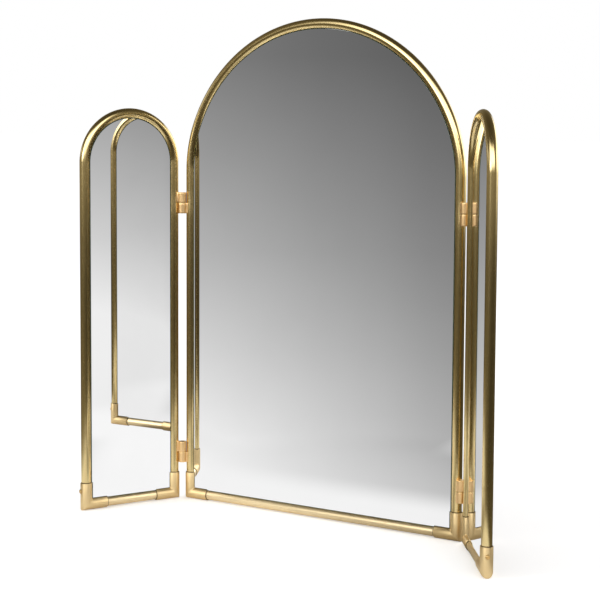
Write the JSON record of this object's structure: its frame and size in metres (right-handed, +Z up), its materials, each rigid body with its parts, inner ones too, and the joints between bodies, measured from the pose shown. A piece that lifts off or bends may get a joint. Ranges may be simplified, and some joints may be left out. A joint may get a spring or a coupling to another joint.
{
  "type": "trifold vanity mirror",
  "caption": "Tabletop trifold mirror: arched glass panels in bent brass tube frames, a tall one in the middle and narrow wings that fold on barrel hinges.",
  "frame": {"origin": "on the standing plane, under the middle of the centre panel's tube frame", "axes": "+Z up, the centre panel's glass faces -Y, +X to the right as seen from in front"},
  "size_m": [0.5703, 0.1402, 0.625],
  "materials": {
    "tube_brass": "polished, slightly aged",
    "rail_brass": "polished, slightly aged",
    "elbow_brass": "polished",
    "hinge_brass": "satin, reddish",
    "washer_brass": "satin",
    "pin_steel": "turned",
    "lug_brass": "dull, cut from strip",
    "screw_steel": "plated",
    "screw_brass": "polished",
    "mirror_glass": "silvered, polished edge",
    "board": "smooth dark hardboard"
  },
  "bodies": {
    "centre_panel": {"centre_arch_tube": "tube_brass", "centre_backing_board": "board", "centre_board_lugs": "lug_brass", "centre_board_screws": "screw_steel", "centre_bottom_rail": "rail_brass", "centre_left_elbow": "elbow_brass", "centre_mirror_glass": "mirror_glass", "centre_right_elbow": "elbow_brass", "left_lower_hinge_centre_knuckle": "hinge_brass", "left_lower_hinge_pin": "pin_steel", "left_lower_hinge_washer": "washer_brass", "left_upper_hinge_centre_knuckle": "hinge_brass", "left_upper_hinge_pin": "pin_steel", "left_upper_hinge_washer": "washer_brass", "right_lower_hinge_centre_knuckle": "hinge_brass", "right_lower_hinge_pin": "pin_steel", "right_lower_hinge_washer": "washer_brass", "right_upper_hinge_centre_knuckle": "hinge_brass", "right_upper_hinge_pin": "pin_steel", "right_upper_hinge_washer": "washer_brass"},
    "left_wing": {"left_lower_hinge_wing_knuckle": "hinge_brass", "left_upper_hinge_wing_knuckle": "hinge_brass", "left_wing_arch_tube": "tube_brass", "left_wing_backing_board": "board", "left_wing_board_lugs": "lug_brass", "left_wing_board_screws": "screw_steel", "left_wing_bottom_rail": "rail_brass", "left_wing_hinge_elbow": "elbow_brass", "left_wing_lock_screw": "screw_brass", "left_wing_mirror_glass": "mirror_glass", "left_wing_outer_elbow": "elbow_brass"},
    "right_wing": {"right_lower_hinge_wing_knuckle": "hinge_brass", "right_upper_hinge_wing_knuckle": "hinge_brass", "right_wing_arch_tube": "tube_brass", "right_wing_backing_board": "board", "right_wing_board_lugs": "lug_brass", "right_wing_board_screws": "screw_steel", "right_wing_bottom_rail": "rail_brass", "right_wing_hinge_elbow": "elbow_brass", "right_wing_lock_screw": "screw_brass", "right_wing_mirror_glass": "mirror_glass", "right_wing_outer_elbow": "elbow_brass"}
  },
  "joints": [
    {"name": "left_wing_fold", "type": "hinge", "parent": "centre_panel", "child": "left_wing", "pos_m": [-0.20225, -0.0081, 0.227], "axis": [0, 0, -1], "range_deg": [-117.2, 68.8]},
    {"name": "right_wing_fold", "type": "hinge", "parent": "centre_panel", "child": "right_wing", "pos_m": [0.20225, -0.0081, 0.227], "axis": [0, 0, 1], "range_deg": [-124.4, 61.6]}
  ]
}
